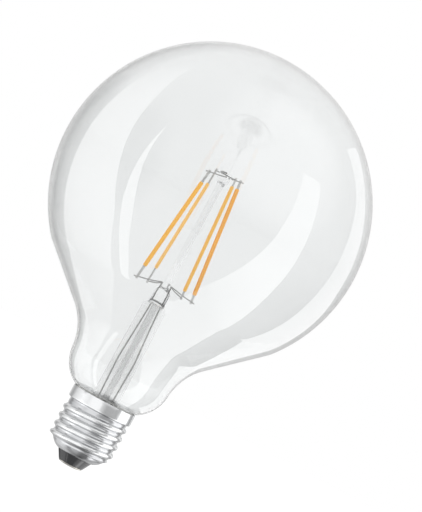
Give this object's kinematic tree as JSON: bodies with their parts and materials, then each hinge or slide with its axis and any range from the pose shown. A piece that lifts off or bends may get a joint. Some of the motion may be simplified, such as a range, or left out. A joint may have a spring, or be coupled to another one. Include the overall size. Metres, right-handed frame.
{
  "type": "globe bulb",
  "caption": "Clear globe bulb with light-giving strips on a glass stem and an E27 screw cap.",
  "frame": {"origin": "outside of the centre contact, on the bulb's axis", "axes": "+Z along the bulb's axis from the cap to the top of the globe, +X to the right and +Y away from the viewer in the picture's view"},
  "size_m": [0.124, 0.124, 0.1757],
  "materials": {
    "clear_glass": "gloss",
    "stem_glass": "gloss",
    "nickel_wire": "drawn",
    "strip_tab": "satin",
    "phosphor_silicone": "satin",
    "plated_shell": "satin",
    "black_insulator": "gloss",
    "plated_contact": "satin",
    "cement": "matt",
    "board_laminate": "satin",
    "moulded_package": "matt",
    "capacitor_sleeve": "gloss",
    "resistor_body": "satin"
  },
  "bodies": {
    "root": {"bridge_rectifier": "moulded_package", "capping_cement": "cement", "centre_contact": "plated_contact", "contact_lead": "nickel_wire", "driver_board": "board_laminate", "driver_chip": "moulded_package", "exhaust_tube": "stem_glass", "filament_1_bead": "phosphor_silicone", "filament_1_lower_tab": "strip_tab", "filament_1_upper_tab": "strip_tab", "filament_2_bead": "phosphor_silicone", "filament_2_lower_tab": "strip_tab", "filament_2_upper_tab": "strip_tab", "filament_3_bead": "phosphor_silicone", "filament_3_lower_tab": "strip_tab", "filament_3_upper_tab": "strip_tab", "filament_4_bead": "phosphor_silicone", "filament_4_lower_tab": "strip_tab", "filament_4_upper_tab": "strip_tab", "glass_pillar": "stem_glass", "globe_envelope": "clear_glass", "insulator": "black_insulator", "lead_wire_left": "nickel_wire", "lead_wire_right": "nickel_wire", "lower_support_left": "nickel_wire", "lower_support_right": "nickel_wire", "screw_shell": "plated_shell", "shell_lead": "nickel_wire", "smoothing_capacitor": "capacitor_sleeve", "stem_tube": "stem_glass", "surge_resistor": "resistor_body", "upper_support_inner": "nickel_wire", "upper_support_outer": "nickel_wire"}
  },
  "joints": []
}
